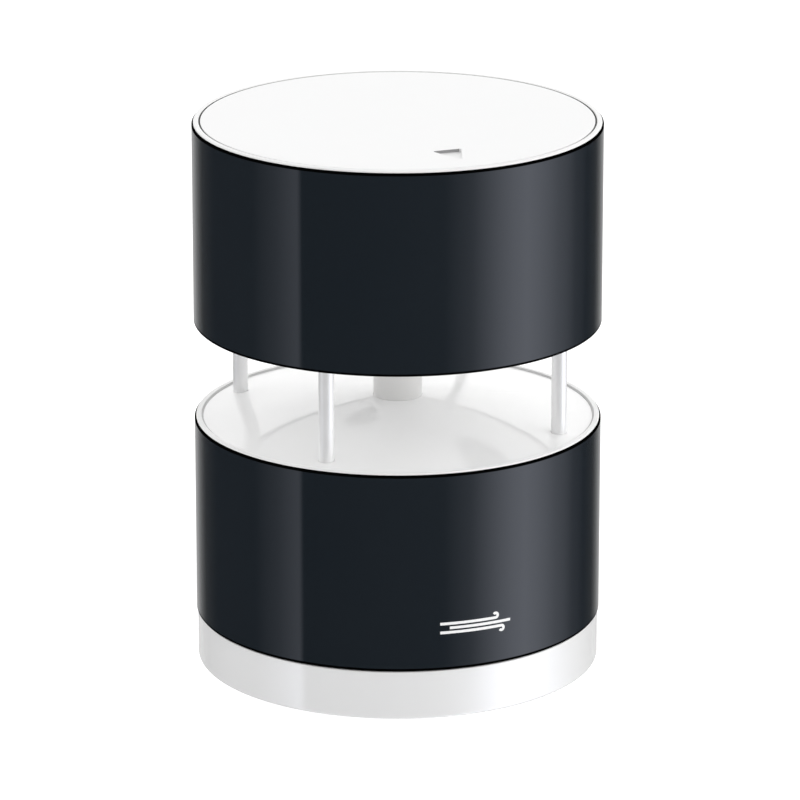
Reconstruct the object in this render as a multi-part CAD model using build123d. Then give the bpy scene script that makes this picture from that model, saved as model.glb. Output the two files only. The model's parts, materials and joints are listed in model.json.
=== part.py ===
from build123d import *
from math import atan, cos, degrees, pi, radians, sin
import os

# A compact ultrasonic wind gauge. Four transducers in the upper section look down at a shallow cone on
# the lower section, which mirrors the sound across the open wind gap between them. The base cover
# twists off for the batteries. Millimetres, +Z up, origin at the middle of the underside, the north
# mark towards -Y.

# Outer form
RADIUS = 42.5
COVER_RADIUS = 42.2
SLEEVE_WALL = 0.9
LIP_RADIUS = 42.15
LIP_RISE = 0.4
LIP_SEAT = 41.05
DISC_RADIUS = 40.7
LOWER_SLEEVE_BOTTOM = 10.6
LOWER_SLEEVE_TOP = 52.6
UPPER_SLEEVE_BOTTOM = 73.5
UPPER_SLEEVE_TOP = 115.7
EDGE = 0.3
LIP_ROUND = 0.25
SEAT_ROUND = 0.12
BASE_ROUND = 0.7
CLEAR = 0.02

# Housings
SLEEVE_INSIDE = RADIUS - SLEEVE_WALL
HOUSING_OUTSIDE = SLEEVE_INSIDE - 0.05
HOUSING_INSIDE = 40.0
SLEEVE_HOOK = 0.4
HOOK_RADIUS = 41.0
FLOOR_TOP = 12.6
LOWER_SEAT = 50.0
UPPER_SEAT = 113.5
GAP = 0.05
STUD_HOLE = 1.2
SEAL_POCKET = 2.15
PEG_ROOT = 38.8
PILLAR_WEB = 2.0
RIM_INSIDE = 38.3
RIM_OUTSIDE = 39.8
RIM_DEPTH = 5.0

# Twist closure of the base: a right-handed cam with four starts
FLOOR = 2.5
SKIRT_TOP = 10.4
SKIRT_INSIDE = 39.9
SPIGOT_INSIDE = 38.1
SPIGOT_OUTSIDE = 39.65
SPIGOT_END = 2.8
PEG_RADIUS = 1.1
PEG_REACH = 40.75
PEG_LEVEL = 6.2
CAM_DEPTH = 41.0
CAM_PLAY = 0.2
CAM_RISE = 5.4
CAM_TURN = 90.0
SEAL_LEVEL = 3.75
SEAL_SECTION = 0.5
SEAL_GROOVE_RADIUS = 38.8
CAM_SLACK = 1.15
CAM_WALL = 1.2
RECESS_INNER = 12.0
RECESS_OUTER = 36.0
RECESS_DEPTH = 0.5
RIB_CIRCLE = 21.0
RIB_LENGTH = 30.0
RIB_WIDTH = 1.4
RIB_HEIGHT = 2.0

# Mounting insert: minor radius of a 1/4-20 thread
INSERT_BORE = 2.55
INSERT_RADIUS = 4.0
INSERT_LENGTH = 8.0
BOSS_RADIUS = 6.5
BOSS_TOP = 9.6
INSERT_GROOVE = 3.5
INSERT_GROOVE_WIDTH = 0.8
INSERT_GROOVES = [2.4, 5.0]

# Wind gap
POST_RADIUS = 1.6
POST_CIRCLE = 36.3
POST_BOTTOM = 52.1
POST_TOP = 74.4
STUD_RADIUS = 1.0
COLUMN_RADIUS = 5.1
COLUMN_BORE = 3.9
COLUMN_BOTTOM = 54.2
COLUMN_TOP = 75.6
LOWER_RING = 0.58
UPPER_RING = 0.38
CONE_TIP = 56.85
CONE_SLOPE = [(15.0, 55.68), (28.0, 53.98)]
CONE_RIM = 52.6
CONE_WALL = 2.0
PLATE_BOTTOM = 74.0
PLATE_TOP = 76.2
LUG_RADIUS = 4.2
LUG_HEIGHT = 3.5
WASHER = 0.3
NUT_HEIGHT = 1.6
NUT_FLATS = 4.0
WASHER_RADIUS = 2.5
SEAL_RADIUS = 2.1
STUD_TAIL = 0.8
SEAL_THICKNESS = 0.5
HUB_RADIUS = 8.0
PLATE_SEAT_INNER = 32.4

# Transducers
TRANSDUCER_CIRCLE = 21.5
TRANSDUCER_RADIUS = 6.0
TRANSDUCER_FACE = 74.3
TRANSDUCER_HEIGHT = 9.0
RUBBER_WALL = 1.3
SOCKET_WALL = 1.2
SOCKET_TOP = 83.0
PIN_RADIUS = 0.4
PIN_SPACING = 5.0
FACE_RADIUS = 4.9
FACE_DEPTH = 0.5

# Batteries: AA cells, side by side
CELL_RADIUS = 7.1
CELL_PITCH = 14.5
CELL_HALF = 24.6
NUB_RADIUS = 2.6
NUB_LENGTH = 1.0
CELL_LEVEL = 19.4
CELL_PLAY = 0.3
TRAY_RADIUS = 39.6
TRAY_ROOF_BOTTOM = 27.0
TRAY_ROOF_TOP = 28.8
TRAY_END = 28.0
TRAY_WALL = 1.6
TRAY_FOOT = 13.2
CONTACT = 0.4
SPRING_RADIUS = 4.0
SPRING_TIP = 2.6
PILLAR_CIRCLE = 36.4
PILLAR_RADIUS = 2.9
TRAY_SCREW = 8.0

# Boards
BOARD = 1.6
MAIN_BOARD_LEVEL = 33.0
MAIN_BOARD_RADIUS = 36.5
SENSOR_BOARD_LEVEL = 88.0
SENSOR_BOARD_RADIUS = 34.0
STANDOFF_RADIUS = 2.6
MAIN_STANDOFF = 20.0
SENSOR_STANDOFF = 17.5
SCREW_RADIUS = 1.0
SCREW_HEAD = 2.0
HEAD_HEIGHT = 1.5
HEAD_ROUND = 0.5
DRIVE_DEPTH = 0.7
DRIVE_LENGTH = 2.2
DRIVE_WIDTH = 0.5

# Top cover, its gasket and the north mark pressed into it
MARK_INNER = 26.9
MARK_OUTER = 35.4
MARK_HALF_WIDTH = 3.2
MARK_DEPTH = 0.65
MARK_CORNER = 0.4
COVER_SEAL = 0.45
GASKET_DIP = 0.3

QUARTERS = [0, 90, 180, 270]
DIAGONALS = [45, 135, 225, 315]
CELL_PLACES = [(k - 1.5) * CELL_PITCH for k in range(4)]


def rod(radius, bottom, top, x=0.0, y=0.0):
    """An upright cylinder between two heights."""
    return Pos(x, y, bottom) * Cylinder(radius, top - bottom, align=(Align.CENTER, Align.CENTER, Align.MIN))


def tube(inner, outer, bottom, top, x=0.0, y=0.0):
    """An upright tube between two heights."""
    return rod(outer, bottom, top, x, y) - rod(inner, bottom - 1, top + 1, x, y)


def block(x, y, bottom, top, width, depth):
    """A box between two heights, centred on x and y."""
    return Pos(x, y, bottom) * Box(width, depth, top - bottom, align=(Align.CENTER, Align.CENTER, Align.MIN))


def polar(radius, angle):
    """The x and y at an angle from +X."""
    return radius * cos(radians(angle)), radius * sin(radians(angle))


def joined(pieces):
    """The union of a list of solids."""
    whole = pieces[0]
    for piece in pieces[1:]:
        whole += piece
    return whole


def edges_at(solid, radius, level):
    """The circular edges of a given radius at a given height."""
    rings = solid.edges().filter_by(GeomType.CIRCLE)
    return [e for e in rings if abs(e.radius - radius) < 1e-3 and abs(e.center().Z - level) < 1e-3]


def rounded(solid, radius, level, amount):
    """The solid with the circular edge of that radius and height rounded."""
    return fillet(edges_at(solid, radius, level), amount)


def ring_of_section(radius, level, section):
    """An O-ring of round section about the axis."""
    return Pos(0, 0, level) * Torus(radius, section)


def screw(x, y, seat, length):
    """A pan-head screw standing with its head above the seat."""
    top = seat + HEAD_HEIGHT
    head = rounded(rod(SCREW_HEAD, seat, top), SCREW_HEAD, top, HEAD_ROUND)
    slots = [block(0, 0, top - DRIVE_DEPTH, top + 1, DRIVE_LENGTH, DRIVE_WIDTH)]
    slots.append(block(0, 0, top - DRIVE_DEPTH, top + 1, DRIVE_WIDTH, DRIVE_LENGTH))
    return Pos(x, y, 0) * (head + rod(SCREW_RADIUS, seat - length, seat) - slots)


def sleeve(bottom, top):
    """A sleeve that slides up to the housing's lip and hooks under its floor."""
    body = tube(SLEEVE_INSIDE, RADIUS, bottom, top) + tube(HOOK_RADIUS, RADIUS, bottom, bottom + SLEEVE_HOOK)
    body = rounded(body, RADIUS, top, EDGE)
    return rounded(body, RADIUS, bottom, EDGE)


def lip(top, seat):
    """A housing's rim: a flange over the sleeve's edge, with a seat for a disc inside it."""
    flange = tube(LIP_SEAT, LIP_RADIUS, top + CLEAR, top + LIP_RISE)
    flange += tube(LIP_SEAT, HOUSING_OUTSIDE, seat, top + LIP_RISE)
    flange = rounded(flange, LIP_RADIUS, top + LIP_RISE, LIP_ROUND)
    return rounded(flange, LIP_SEAT, top + LIP_RISE, SEAT_ROUND)


def lugs(bottom, top):
    """Four lugs on a housing's wall, one over each post, with a hole for its stud."""
    places = [polar(POST_CIRCLE, angle) for angle in DIAGONALS]
    return joined([rod(LUG_RADIUS, bottom, top, x, y) for x, y in places])


def stud_holes(bottom, top, radius=STUD_HOLE):
    """One upright hole on the stud of every post."""
    return [rod(radius, bottom, top, *polar(POST_CIRCLE, angle)) for angle in DIAGONALS]


# Base


def cam_groove(start):
    """One helical groove of the base cover's skirt, open at the skirt's top."""
    lead = CAM_RISE * 360 / CAM_TURN
    slope = atan(lead / (2 * pi * SKIRT_INSIDE))
    half_height = (PEG_RADIUS + CAM_PLAY) / cos(slope)
    bottom = PEG_LEVEL - half_height
    height = SKIRT_TOP + 1 - bottom
    spread = 2 * half_height / lead * 360
    first = start - spread
    inner = SKIRT_INSIDE - CAM_WALL
    outline = Polyline(polar(inner, first), polar(CAM_DEPTH, first))
    outline += RadiusArc(polar(CAM_DEPTH, first), polar(CAM_DEPTH, start), -CAM_DEPTH)
    outline += Polyline(polar(CAM_DEPTH, start), polar(inner, start))
    outline += RadiusArc(polar(inner, start), polar(inner, first), inner)
    section = Pos(0, 0, bottom) * make_face(outline)
    turn = height / lead * 360
    return Solid.extrude_linear_with_rotation(section.faces()[0], (0, 0, bottom), (0, 0, height), turn)


def base_cover():
    """The twist-off cover: floor, skirt with helical grooves, boss for the insert."""
    cover = rod(COVER_RADIUS, 0, SKIRT_TOP) - rod(SKIRT_INSIDE, FLOOR, SKIRT_TOP + 1)
    cover = rounded(cover, COVER_RADIUS, 0, BASE_ROUND)
    cover = rounded(cover, COVER_RADIUS, SKIRT_TOP, EDGE)
    cover += rod(BOSS_RADIUS, FLOOR, BOSS_TOP)
    for angle in range(0, 360, 45):
        cover += Rot(0, 0, angle) * block(RIB_CIRCLE, 0, FLOOR, FLOOR + RIB_HEIGHT, RIB_LENGTH, RIB_WIDTH)
    cover -= tube(RECESS_INNER, RECESS_OUTER, -1, RECESS_DEPTH)
    cover -= rod(INSERT_RADIUS, -1, INSERT_LENGTH)
    past_peg = CAM_SLACK * degrees(PEG_RADIUS / SKIRT_INSIDE)
    for angle in DIAGONALS:
        cover -= cam_groove(angle + past_peg)
    return cover


def mount_insert():
    """The moulded-in brass insert; its bore is the thread's minor diameter."""
    insert = tube(INSERT_BORE, INSERT_RADIUS, 0, INSERT_LENGTH)
    for bottom in INSERT_GROOVES:
        insert -= tube(INSERT_GROOVE, INSERT_RADIUS + 1, bottom, bottom + INSERT_GROOVE_WIDTH)
    return chamfer(edges_at(insert, INSERT_BORE, 0), 0.4)


def base_seal():
    """An O-ring in the spigot's groove. It slips as the housing turns, and rises with it."""
    return ring_of_section(SEAL_GROOVE_RADIUS + GAP + SEAL_SECTION, SEAL_LEVEL, SEAL_SECTION)


# Lower section


def lower_housing():
    floor_bottom = LOWER_SLEEVE_BOTTOM + SLEEVE_HOOK + GAP
    body = tube(HOUSING_INSIDE, HOUSING_OUTSIDE, floor_bottom, LOWER_SEAT)
    body += tube(SPIGOT_INSIDE, HOUSING_OUTSIDE, floor_bottom, FLOOR_TOP)
    body += tube(SPIGOT_INSIDE, SPIGOT_OUTSIDE, SPIGOT_END, FLOOR_TOP)
    body += lip(LOWER_SLEEVE_TOP, LOWER_SEAT)
    groove = SEAL_SECTION + 2 * GAP
    body -= tube(SEAL_GROOVE_RADIUS, SPIGOT_OUTSIDE + 1, SEAL_LEVEL - groove, SEAL_LEVEL + groove)
    keep = rod(HOUSING_OUTSIDE - 0.5, 0, 100)
    body += lugs(LOWER_SEAT - LUG_HEIGHT, LOWER_SEAT) & keep
    body -= stud_holes(40, 60)
    body -= stud_holes(LOWER_SEAT - SEAL_THICKNESS, 60, SEAL_POCKET)
    web_end = HOUSING_INSIDE + 2 * CLEAR
    for angle in QUARTERS:
        pillar = rod(PILLAR_RADIUS, FLOOR_TOP - 1, TRAY_ROOF_BOTTOM, PILLAR_CIRCLE)
        middle = (PILLAR_CIRCLE + web_end) / 2
        pillar += block(middle, 0, FLOOR_TOP - 1, TRAY_ROOF_BOTTOM, web_end - PILLAR_CIRCLE, PILLAR_WEB)
        pillar -= rod(SCREW_RADIUS + GAP, TRAY_ROOF_BOTTOM - TRAY_SCREW, TRAY_ROOF_BOTTOM + 1, PILLAR_CIRCLE)
        body += Rot(0, 0, angle) * pillar
    body -= rod(SPIGOT_INSIDE, SPIGOT_END, FLOOR_TOP - 1.5)
    for angle in DIAGONALS:
        peg = Pos(0, 0, PEG_LEVEL) * Rot(0, 0, angle) * Rot(0, 90, 0)
        body += peg * rod(PEG_RADIUS, PEG_ROOT, PEG_REACH)
    return body


def reflector_plate():
    """The shallow cone, a little fuller half-way up its slope."""
    outer = [(COLUMN_BORE, CONE_TIP + 0.12), *CONE_SLOPE, (DISC_RADIUS, CONE_RIM)]
    crown = Spline(*outer)
    under = Spline(*[(r, z - CONE_WALL) for r, z in outer])
    outline = crown + Line(outer[-1], (outer[-1][0], outer[-1][1] - CONE_WALL))
    outline += under + Line(outer[0], (outer[0][0], outer[0][1] - CONE_WALL))
    plate = revolve(Plane.XZ * make_face(outline), Axis.Z)
    seats = tube(PLATE_SEAT_INNER, HOUSING_INSIDE - GAP, LOWER_SEAT + CLEAR, CONE_RIM - 0.6)
    plate = plate + seats + tube(COLUMN_BORE, HUB_RADIUS, COLUMN_BOTTOM - 1.6, CONE_TIP - 0.6)
    plate -= rod(COLUMN_RADIUS + GAP, COLUMN_BOTTOM - 0.6, CONE_TIP + 1)
    plate -= stud_holes(40, 60, STUD_RADIUS + 0.1)
    plate -= stud_holes(POST_BOTTOM - GAP, 60, POST_RADIUS + GAP)
    return plate


def support_post(angle):
    """A steel post with a thinner threaded stud at each end."""
    x, y = polar(POST_CIRCLE, angle)
    lower_end = LOWER_SEAT - LUG_HEIGHT - WASHER - NUT_HEIGHT - STUD_TAIL
    upper_end = PLATE_TOP + GAP + LUG_HEIGHT + WASHER + NUT_HEIGHT + STUD_TAIL
    return rod(POST_RADIUS, POST_BOTTOM, POST_TOP, x, y) + rod(STUD_RADIUS, lower_end, upper_end, x, y)


def around_studs(make):
    """One piece on the stud of every post."""
    return [Pos(*polar(POST_CIRCLE, angle), 0) * make for angle in DIAGONALS]


def post_seals():
    ring = tube(STUD_RADIUS + GAP, SEAL_RADIUS, CLEAR, SEAL_THICKNESS - CLEAR)
    lower = Pos(0, 0, LOWER_SEAT - SEAL_THICKNESS) * ring
    upper = Pos(0, 0, PLATE_TOP + GAP) * ring
    return around_studs(lower) + around_studs(upper)


def post_washers():
    ring = tube(STUD_RADIUS + GAP, WASHER_RADIUS, 0, WASHER)
    lower = Pos(0, 0, LOWER_SEAT - LUG_HEIGHT - WASHER) * ring
    upper = Pos(0, 0, PLATE_TOP + GAP + LUG_HEIGHT) * ring
    return around_studs(lower) + around_studs(upper)


def post_nuts():
    hexagon = extrude(RegularPolygon(NUT_FLATS / 2, 6, major_radius=False), NUT_HEIGHT)
    nut = hexagon - rod(STUD_RADIUS + GAP, -1, 3)
    lower = Pos(0, 0, LOWER_SEAT - LUG_HEIGHT - WASHER - NUT_HEIGHT) * nut
    upper = Pos(0, 0, PLATE_TOP + GAP + LUG_HEIGHT + WASHER) * nut
    return around_studs(lower) + around_studs(upper)


def wire_column():
    return tube(COLUMN_BORE, COLUMN_RADIUS, COLUMN_BOTTOM, COLUMN_TOP)


def column_seals():
    """A flat ring under each end of the column."""
    inner = COLUMN_BORE + 0.1
    lower = tube(inner, COLUMN_RADIUS, COLUMN_BOTTOM - LOWER_RING, COLUMN_BOTTOM - CLEAR)
    upper = tube(inner, COLUMN_RADIUS, COLUMN_TOP + CLEAR, COLUMN_TOP + UPPER_RING)
    return [lower, upper]


# Upper section


def upper_housing():
    bottom = PLATE_TOP + GAP
    body = tube(HOUSING_INSIDE, HOUSING_OUTSIDE, bottom, UPPER_SEAT) + lip(UPPER_SLEEVE_TOP, UPPER_SEAT)
    keep = rod(HOUSING_OUTSIDE - 0.5, 0, 120)
    body += lugs(bottom, bottom + LUG_HEIGHT) & keep
    body -= stud_holes(70, 90)
    body -= stud_holes(70, bottom + SEAL_THICKNESS, SEAL_POCKET)
    return body


def sensor_plate():
    """The upper section's floor, with a socket for each transducer and one for the wire column."""
    plate = rod(HOUSING_OUTSIDE, PLATE_BOTTOM, PLATE_TOP)
    plate = rounded(plate, HOUSING_OUTSIDE, PLATE_BOTTOM, 0.15)
    rubber = TRANSDUCER_RADIUS + RUBBER_WALL
    for angle in QUARTERS:
        x, y = polar(TRANSDUCER_CIRCLE, angle)
        plate += rod(rubber + GAP + SOCKET_WALL, PLATE_TOP - 0.5, SOCKET_TOP, x, y)
        plate -= rod(rubber + GAP, PLATE_BOTTOM + 1.4, SOCKET_TOP + 1, x, y)
        plate -= rod(TRANSDUCER_RADIUS + 0.2, PLATE_BOTTOM - 1, SOCKET_TOP, x, y)
    plate += rod(HUB_RADIUS, PLATE_TOP - 0.5, PLATE_TOP + 1.4)
    plate -= rod(COLUMN_BORE, PLATE_BOTTOM - 1, PLATE_TOP + 2)
    plate -= rod(COLUMN_RADIUS + GAP, PLATE_BOTTOM - 1, COLUMN_TOP + 0.4)
    plate -= stud_holes(70, 90, STUD_RADIUS + 0.1)
    plate -= stud_holes(70, POST_TOP + GAP, POST_RADIUS + GAP)
    for x, y in corners(SENSOR_STANDOFF):
        plate += rod(STANDOFF_RADIUS, PLATE_TOP - 0.5, SENSOR_BOARD_LEVEL, x, y)
        plate -= rod(SCREW_RADIUS + GAP, SENSOR_BOARD_LEVEL - 7, SENSOR_BOARD_LEVEL + 1, x, y)
    return plate


def transducer(angle):
    """A can with its radiating face down, a stepped edge round the face and two pins."""
    x, y = polar(TRANSDUCER_CIRCLE, angle)
    top = TRANSDUCER_FACE + TRANSDUCER_HEIGHT
    can = rod(TRANSDUCER_RADIUS, TRANSDUCER_FACE, top)
    can = rounded(can, TRANSDUCER_RADIUS, TRANSDUCER_FACE, 0.4)
    can -= rod(FACE_RADIUS, TRANSDUCER_FACE - 1, TRANSDUCER_FACE + FACE_DEPTH)
    for side in (-1, 1):
        can += rod(PIN_RADIUS, top, SENSOR_BOARD_LEVEL + BOARD + 0.8, 0, side * PIN_SPACING / 2)
    return Pos(x, y, 0) * can


def transducer_sleeve(angle):
    """The soft sleeve that keeps a transducer's ringing out of the plate."""
    x, y = polar(TRANSDUCER_CIRCLE, angle)
    outer = TRANSDUCER_RADIUS + RUBBER_WALL
    return tube(TRANSDUCER_RADIUS + 0.02, outer, PLATE_BOTTOM + 1.45, SOCKET_TOP - 0.3, x, y)


def top_cover():
    """The top disc, with the north mark pressed into it and a rim that centres it."""
    top = UPPER_SLEEVE_TOP + LIP_RISE - 0.05
    cover = rod(DISC_RADIUS, UPPER_SEAT + COVER_SEAL, top)
    cover = rounded(cover, DISC_RADIUS, top, SEAT_ROUND)
    cover += tube(RIM_INSIDE, RIM_OUTSIDE, UPPER_SEAT - RIM_DEPTH, UPPER_SEAT + 1)
    mark = Polyline(
        (-MARK_HALF_WIDTH, -MARK_INNER), (MARK_HALF_WIDTH, -MARK_INNER), (0, -MARK_OUTER), close=True
    )
    arrow = fillet(make_face(mark).vertices(), MARK_CORNER)
    return cover - Pos(0, 0, top - MARK_DEPTH) * extrude(arrow, MARK_DEPTH + 1)


def edge_gasket(seat, under, top):
    """An angle-section gasket: a foot under a disc's edge and a leg that fills the joint to the lip."""
    bottom, foot = seat + CLEAR, under - CLEAR
    inner, outer = DISC_RADIUS + CLEAR, LIP_SEAT - CLEAR
    section = Polyline(
        (HOUSING_INSIDE + GAP, bottom),
        (outer, bottom),
        (outer, top - SEAT_ROUND),
        (inner, top - GASKET_DIP),
        (inner, foot),
        (HOUSING_INSIDE + GAP, foot),
        close=True,
    )
    return revolve(Plane.XZ * make_face(section), Axis.Z)


def plate_seal():
    return edge_gasket(LOWER_SEAT, CONE_RIM - CONE_WALL, LOWER_SLEEVE_TOP + LIP_RISE)


def cover_seal():
    return edge_gasket(UPPER_SEAT, UPPER_SEAT + COVER_SEAL, UPPER_SLEEVE_TOP + LIP_RISE)


# Batteries


def corners(reach):
    """The four corners of a square about the axis."""
    return [(x, y) for x in (-reach, reach) for y in (-reach, reach)]


def along_y(radius, start, end, x):
    """A cylinder lying along Y at the cells' height."""
    lying = Cylinder(radius, end - start, align=(Align.CENTER, Align.CENTER, Align.MIN))
    return Pos(x, start, CELL_LEVEL) * Rot(-90, 0, 0) * lying


def nub_side(index):
    """The end of the bay that a cell's nub faces: cells alternate, to be wired in series."""
    return 1 if index % 2 == 0 else -1


def battery(index):
    side = nub_side(index)
    body = fillet(along_y(CELL_RADIUS, -CELL_HALF, CELL_HALF, 0).edges().filter_by(GeomType.CIRCLE), 0.5)
    nub = along_y(NUB_RADIUS, CELL_HALF - 0.5, CELL_HALF + NUB_LENGTH, 0)
    cell = body + nub
    if side < 0:
        cell = Rot(0, 0, 180) * cell
    return Pos(CELL_PLACES[index], 0, 0) * cell


def battery_spring(index):
    """The space that a conical contact spring fills between its plate and its cell."""
    side = -nub_side(index)
    near = CELL_HALF + GAP
    far = TRAY_END - CONTACT - 0.02
    shell = Cone(SPRING_RADIUS, SPRING_TIP, far - near) - Cone(SPRING_RADIUS - 0.9, SPRING_TIP - 0.9, far - near)
    lying = Rot(90 * side, 0, 0) * shell
    return Pos(CELL_PLACES[index], side * (near + far) / 2, CELL_LEVEL) * lying


def battery_contacts():
    """Spring plates on the end walls, and the plates that stand forward to meet the nubs."""
    plates = []
    for index, x in enumerate(CELL_PLACES):
        side = nub_side(index)
        nub_face = CELL_HALF + NUB_LENGTH + GAP
        plates.append(block(x, side * (nub_face + CONTACT / 2), 14.9, 23.9, 8, CONTACT))
        plates.append(block(x, -side * (TRAY_END - CONTACT / 2 - 0.01), 14.9, 23.9, 9, CONTACT))
    return plates


def battery_tray():
    """Four half-round saddles under a round roof, with end walls for the contacts."""
    clear = CELL_RADIUS + CELL_PLAY
    tray = rod(TRAY_RADIUS, TRAY_ROOF_BOTTOM, TRAY_ROOF_TOP)
    end = TRAY_END + TRAY_WALL
    for x in CELL_PLACES:
        tray += along_y(clear + 1.2, -TRAY_END, TRAY_END, x)
    width = 2 * (CELL_PLACES[-1] + 5.2)
    for side in (-1, 1):
        tray += block(0, side * (TRAY_END + end) / 2, TRAY_FOOT, TRAY_ROOF_BOTTOM + 0.5, width, TRAY_WALL)
    for x in CELL_PLACES:
        tray -= along_y(clear, -TRAY_END, TRAY_END, x)
    tray -= block(0, 0, TRAY_FOOT - 1, CELL_LEVEL, 70, 2 * TRAY_END)
    tray -= block(0, 0, CELL_LEVEL + 12, CELL_LEVEL + 14, 70, 70)
    for index, x in enumerate(CELL_PLACES):
        side = nub_side(index)
        pad_face = CELL_HALF + NUB_LENGTH + GAP + CONTACT + 0.01
        depth = TRAY_END - pad_face + 0.5
        tray += block(x, side * (pad_face + depth / 2), 14.5, 24.5, 9, depth)
    tray &= rod(TRAY_RADIUS, TRAY_FOOT - 1, TRAY_ROOF_TOP)
    for angle in QUARTERS:
        tray -= rod(SCREW_RADIUS + 0.1, 20, 40, *polar(PILLAR_CIRCLE, angle))
    for x, y in corners(MAIN_STANDOFF):
        tray += rod(STANDOFF_RADIUS, TRAY_ROOF_TOP - 0.5, MAIN_BOARD_LEVEL, x, y)
        tray -= rod(SCREW_RADIUS + GAP, MAIN_BOARD_LEVEL - 3.5, MAIN_BOARD_LEVEL + 1, x, y)
    return tray


def tray_screws():
    return [screw(*polar(PILLAR_CIRCLE, angle), TRAY_ROOF_TOP, TRAY_SCREW) for angle in QUARTERS]


# Electronics


def board(radius, bottom, standoff):
    plate = rod(radius, bottom, bottom + BOARD)
    for x, y in corners(standoff):
        plate -= rod(SCREW_RADIUS + 0.1, bottom - 1, bottom + BOARD + 1, x, y)
    return plate


def main_board():
    plate = board(MAIN_BOARD_RADIUS, MAIN_BOARD_LEVEL, MAIN_STANDOFF)
    for angle in QUARTERS:
        plate -= rod(3.2, MAIN_BOARD_LEVEL - 1, MAIN_BOARD_LEVEL + 3, *polar(PILLAR_CIRCLE, angle))
    return plate


def board_screws():
    main = [screw(x, y, MAIN_BOARD_LEVEL + BOARD, 5.0) for x, y in corners(MAIN_STANDOFF)]
    return main + [screw(x, y, SENSOR_BOARD_LEVEL + BOARD, 7.0) for x, y in corners(SENSOR_STANDOFF)]


def on_main(x, y, width, depth, height):
    """A component on the main board's upper face."""
    top = MAIN_BOARD_LEVEL + BOARD
    return block(x, y, top, top + height, width, depth)


def microcontroller():
    return chamfer(on_main(-14, 6, 9, 9, 1.0).faces().sort_by(Axis.Z)[-1].edges(), 0.15)


def radio_module():
    shield = on_main(8, -20, 16, 13, 2.6)
    return fillet(shield.edges().filter_by(Axis.Z), 0.8)


def antenna():
    """A bent strip antenna beside the radio module."""
    top = MAIN_BOARD_LEVEL + BOARD
    strip = block(12, -31.2, top + 4.6, top + 5.2, 20, 4.0)
    strip += block(2.3, -31.2, top, top + 5.0, 0.6, 4.0)
    return strip + block(7.3, -31.2, top, top + 5.0, 0.6, 1.2)


def crystal():
    return fillet(on_main(-14, -3, 5.0, 3.2, 1.2).edges().filter_by(Axis.Z), 0.5)


def capacitors():
    """Three electrolytic cans on the main board."""
    top = MAIN_BOARD_LEVEL + BOARD
    cans = []
    for x, y in ((20, 6), (27, 6), (23.5, 13)):
        can = fillet(rod(3.0, top, top + 6.5).edges().filter_by(GeomType.CIRCLE).sort_by(Axis.Z)[-1], 0.4)
        cans.append(Pos(x, y, 0) * (can - tube(2.8, 4, top + 0.9, top + 1.4)))
    return cans


def status_led():
    return on_main(-6, -32, 1.6, 1.0, 0.8)


def board_connectors():
    """Sockets for the sensor cable, one on each board, and one for the battery leads."""
    main_top = MAIN_BOARD_LEVEL + BOARD
    socket = block(8, 0, main_top, main_top + 5, 10, 6) - block(8, 0, main_top + 1.2, main_top + 6, 8.4, 4.4)
    upper = block(0, 0, SENSOR_BOARD_LEVEL - 4, SENSOR_BOARD_LEVEL, 10, 6)
    upper -= block(0, 0, SENSOR_BOARD_LEVEL - 5, SENSOR_BOARD_LEVEL - 1.2, 8.4, 4.4)
    battery_socket = on_main(-24, 14, 7, 5, 5.5)
    return [socket, upper, battery_socket]


def sensor_board():
    plate = board(SENSOR_BOARD_RADIUS, SENSOR_BOARD_LEVEL, SENSOR_STANDOFF)
    for angle in QUARTERS:
        x, y = polar(TRANSDUCER_CIRCLE, angle)
        for side in (-1, 1):
            pin = rod(PIN_RADIUS + GAP, SENSOR_BOARD_LEVEL - 1, SENSOR_BOARD_LEVEL + 3, x, y + side * 2.5)
            plate -= pin
    return plate


def on_sensor(x, y, width, depth, height):
    """A component on the sensor board's upper face."""
    top = SENSOR_BOARD_LEVEL + BOARD
    return block(x, y, top, top + height, width, depth)


def drive_transformers():
    """One step-up transformer for each transducer."""
    units = []
    for angle in DIAGONALS:
        x, y = polar(11.5, angle)
        unit = on_sensor(x, y, 7.5, 7.5, 5.0)
        units.append(fillet(unit.edges().filter_by(Axis.Z), 1.2))
    return units


def amplifier_chips():
    places = [polar(28.5, angle + 22) for angle in QUARTERS]
    return [on_sensor(x, y, 5, 4, 1.4) for x, y in places]


def sensor_cable():
    """The lead from the main board to the sensor board, through the wire column."""
    start = MAIN_BOARD_LEVEL + BOARD + 1.25
    end = SENSOR_BOARD_LEVEL - 1.25
    route = [(8, 0, start), (8, 0, 40.0), (0, 0, 47.5), (0, 0, end)]
    bends = [8.0, 8.0]
    path = FilletPolyline(*route, radius=bends)
    section = Plane(origin=route[0], z_dir=(0, 0, 1)) * Circle(2.0)
    print("cable bends", bends, "length", round(path.length, 1))
    return sweep(section, path=path)


PARTS = {
    "base_cover": base_cover,
    "mount_insert": mount_insert,
    "base_seal": base_seal,
    "lower_housing": lower_housing,
    "reflector_plate": reflector_plate,
    "post_seals": post_seals,
    "post_washers": post_washers,
    "post_nuts": post_nuts,
    "wire_column": wire_column,
    "column_seals": column_seals,
    "upper_housing": upper_housing,
    "sensor_plate": sensor_plate,
    "top_cover": top_cover,
    "plate_seal": plate_seal,
    "cover_seal": cover_seal,
    "battery_contacts": battery_contacts,
    "battery_tray": battery_tray,
    "tray_screws": tray_screws,
    "main_board": main_board,
    "board_screws": board_screws,
    "microcontroller": microcontroller,
    "radio_module": radio_module,
    "antenna": antenna,
    "crystal": crystal,
    "capacitors": capacitors,
    "status_led": status_led,
    "board_connectors": board_connectors,
    "sensor_board": sensor_board,
    "drive_transformers": drive_transformers,
    "amplifier_chips": amplifier_chips,
    "sensor_cable": sensor_cable,
}


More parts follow.
